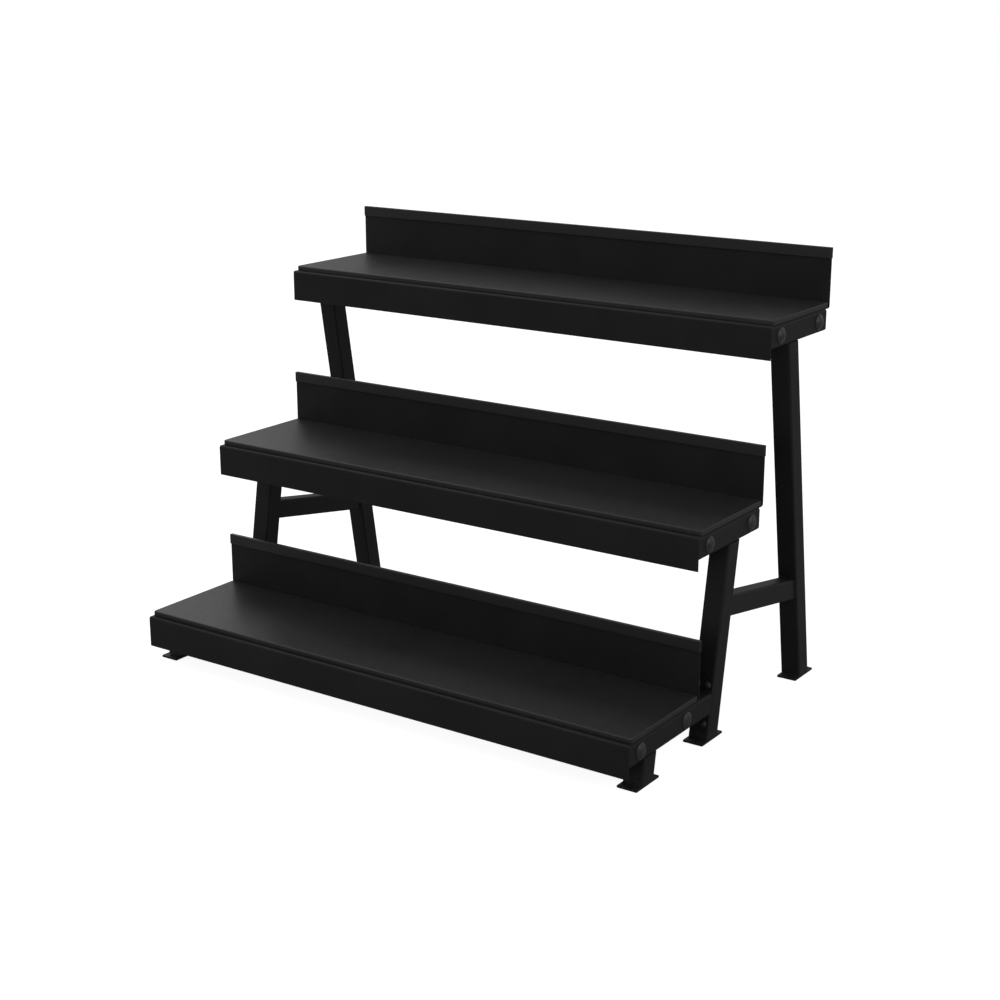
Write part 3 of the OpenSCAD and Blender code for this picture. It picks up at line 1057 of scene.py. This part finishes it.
def tray_welds(tier, sizes):
    """Stitches that hold the brackets and the ribs under a deck."""
    welder = Welder(sizes)
    sit = sizes.bead * sizes.bead_sit
    for side in SIDES:
        low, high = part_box(f"{side}_{tier}_bracket")
        edge = high.x + sit if side == "left" else low.x - sit
        welder.stitches(edge, high.z - sit, low.y, high.y)
    for low, high in solids(f"{tier}_deck_ribs"):
        for edge in (low.x - sit, high.x + sit):
            welder.stitches(edge, high.z - sit, low.y, high.y)
    return welder.done(f"{tier}_tray_welds")


# ---- operators ----


class RACK_OT_frame(bpy.types.Operator):
    """Finishes the tubes, plates, brackets and ribs of the frame"""

    bl_idname = "rack.frame"
    bl_label = "Frame"

    def execute(self, context):
        sizes = context.scene.rack_sizes
        for part in frame["record"]["subparts"]:
            paint(frame["nodes"][part["node"]], part["material_slot"])
        for side in SIDES:
            for node in FRAME_PARTS:
                whole = f"{side}_{node}"
                fit(softened(whole, f"{whole}_finished", sizes.edge), COAT, whole)
        for tier in TIERS:
            node = f"{tier}_deck_ribs"
            fit(softened(node, f"{node}_finished", sizes.edge), COAT, node)
        return {"FINISHED"}


class RACK_OT_trays(bpy.types.Operator):
    """Folds the three trays"""

    bl_idname = "rack.trays"
    bl_label = "Trays"

    def execute(self, context):
        for tier in TIERS:
            fit(folded_tray(tier, context.scene.rack_sizes), COAT, f"{tier}_tray")
        return {"FINISHED"}


class RACK_OT_mats(bpy.types.Operator):
    """Lays the rubber mats on the decks"""

    bl_idname = "rack.mats"
    bl_label = "Mats"

    def execute(self, context):
        for tier in TIERS:
            fit(rubber_mat(tier, context.scene.rack_sizes), RUBBER, f"{tier}_mat")
        return {"FINISHED"}


class RACK_OT_trims(bpy.types.Operator):
    """Pushes the plastic trims over the back plates"""

    bl_idname = "rack.trims"
    bl_label = "Edge trims"

    def execute(self, context):
        for tier in TIERS:
            fit(trim_strip(tier, context.scene.rack_sizes), PLASTIC, f"{tier}_edge_trim")
        return {"FINISHED"}


class RACK_OT_fasteners(bpy.types.Operator):
    """Puts in the domed bolts with their washers and nuts"""

    bl_idname = "rack.fasteners"
    bl_label = "Fasteners"

    def execute(self, context):
        for tier in TIERS:
            tray_fasteners(tier, context.scene.rack_sizes)
        return {"FINISHED"}


class RACK_OT_caps(bpy.types.Operator):
    """Closes the rear ends of the upper arms"""

    bl_idname = "rack.caps"
    bl_label = "End caps"

    def execute(self, context):
        for side in SIDES:
            for tier in UPPER_TIERS:
                arm_cap(side, tier, context.scene.rack_sizes)
        return {"FINISHED"}


class RACK_OT_feet(bpy.types.Operator):
    """Sets a drilled plate under each leg"""

    bl_idname = "rack.feet"
    bl_label = "Feet"

    def execute(self, context):
        for side in SIDES:
            for leg in LEGS:
                foot_plate(side, leg, context.scene.rack_sizes)
        return {"FINISHED"}


class RACK_OT_welds(bpy.types.Operator):
    """Lays the weld beads on the side frames and under the decks"""

    bl_idname = "rack.welds"
    bl_label = "Welds"

    def execute(self, context):
        for side in SIDES:
            frame_welds(side, context.scene.rack_sizes)
        for tier in TIERS:
            tray_welds(tier, context.scene.rack_sizes)
        return {"FINISHED"}


# Each softbox has its place and size in metres, and its watts.
SOFTBOXES = {
    "top": ((-1.6, -0.4, 3.0), 2.4, 18),
    "side": ((3.6, 0.3, 1.9), 1.6, 9),
    "back": ((-5.2, 2.9, 3.0), 2.7, 18),
    "fill": ((0.9, -3.8, 1.1), 2.0, 4),
}


class RACK_OT_stage(bpy.types.Operator):
    """Sets the camera, the floor and the light"""

    bl_idname = "rack.stage"
    bl_label = "Stage"

    def execute(self, context):
        stage = context.scene.rack_stage
        context.scene.view_settings.view_transform = "Standard"
        only()
        bpy.ops.object.camera_add(location=stage.camera_at, rotation=stage.camera_turn)
        camera = context.object
        camera.name = "camera"
        camera.data.lens = stage.lens
        camera.data.clip_end = 200
        context.scene.camera = camera
        only()
        bpy.ops.mesh.primitive_plane_add(size=stage.floor_size)
        floor = context.object
        floor.name = "floor"
        floor.data.materials.append(floor_material(stage))
        context.scene.world = room_world(stage)
        for name, (place, size, watts) in SOFTBOXES.items():
            soft_light(name, place, size, watts)
        return {"FINISHED"}


def floor_material(stage):
    """A pale floor that the camera sees as bright as the backdrop, with the rack's soft shadow on it."""
    graph = Graph(bpy.data.materials.new("floor"))
    tone = (stage.floor_tone,) * 3 + (1,)
    matt = graph.node("BsdfDiffuse", None, {"Color": tone})
    seen = graph.node("LightPath", output="Is Camera Ray")
    glow = graph.node("Emission", None, {"Color": (1, 1, 1, 1), "Strength": seen * stage.floor_glow})
    both = graph.node("AddShader", None, {0: matt, 1: glow})
    return graph.finish(both)


def room_world(stage):
    """A white backdrop in a softly lit room."""
    graph = Graph(bpy.data.worlds.new("room"))
    seen = graph.node("LightPath", output="Is Camera Ray")
    strength = stage.room + (1 - stage.room) * seen
    glow = graph.node("Background", None, {"Color": (1, 1, 1, 1), "Strength": strength})
    return graph.finish(glow, "OutputWorld")


def soft_light(name, place, size, watts):
    """A square softbox that faces the middle of the rack."""
    only()
    bpy.ops.object.light_add(type="AREA", location=place)
    light = bpy.context.object
    light.name = name + "_light"
    light.data.shape = "SQUARE"
    light.data.size = size
    light.data.energy = watts
    towards = Vector((0, 0, 0.5)) - Vector(place)
    light.rotation_euler = towards.to_track_quat("-Z", "Y").to_euler()
    light.visible_camera = False
    return light


OPERATORS = (
    RACK_OT_frame, RACK_OT_trays, RACK_OT_mats, RACK_OT_trims, RACK_OT_fasteners,
    RACK_OT_caps, RACK_OT_feet, RACK_OT_welds, RACK_OT_stage,
)


class RACK_PT_finisher(bpy.types.Panel):
    """Lists the steps that finish the rack and their settings"""

    bl_idname = "RACK_PT_finisher"
    bl_label = "Dumbbell Rack"
    bl_space_type = "VIEW_3D"
    bl_region_type = "UI"
    bl_category = "Rack"

    def draw(self, context):
        layout = self.layout
        steps = layout.column(align=True)
        for step in OPERATORS:
            steps.operator(step.bl_idname)
        layout.use_property_split = True
        for name, group in SETTINGS.items():
            settings = layout.box().column()
            for setting in group.__annotations__:
                settings.prop(getattr(context.scene, name), setting)


CLASSES = (RackSizes, RackFinish, RackStage, *OPERATORS, RACK_PT_finisher)


def register():
    """Registers the classes and hangs the settings on the scene."""
    for each in CLASSES:
        bpy.utils.register_class(each)
    for name, group in SETTINGS.items():
        setattr(bpy.types.Scene, name, bpy.props.PointerProperty(type=group))


def unregister():
    """Undoes register()."""
    for name in SETTINGS:
        delattr(bpy.types.Scene, name)
    for each in reversed(CLASSES):
        bpy.utils.unregister_class(each)


def main():
    """Finishes the rack and sets the stage."""
    register()
    for step in OPERATORS:
        getattr(bpy.ops.rack, step.bl_idname.split(".")[1])()


if __name__ == "__main__":
    main()
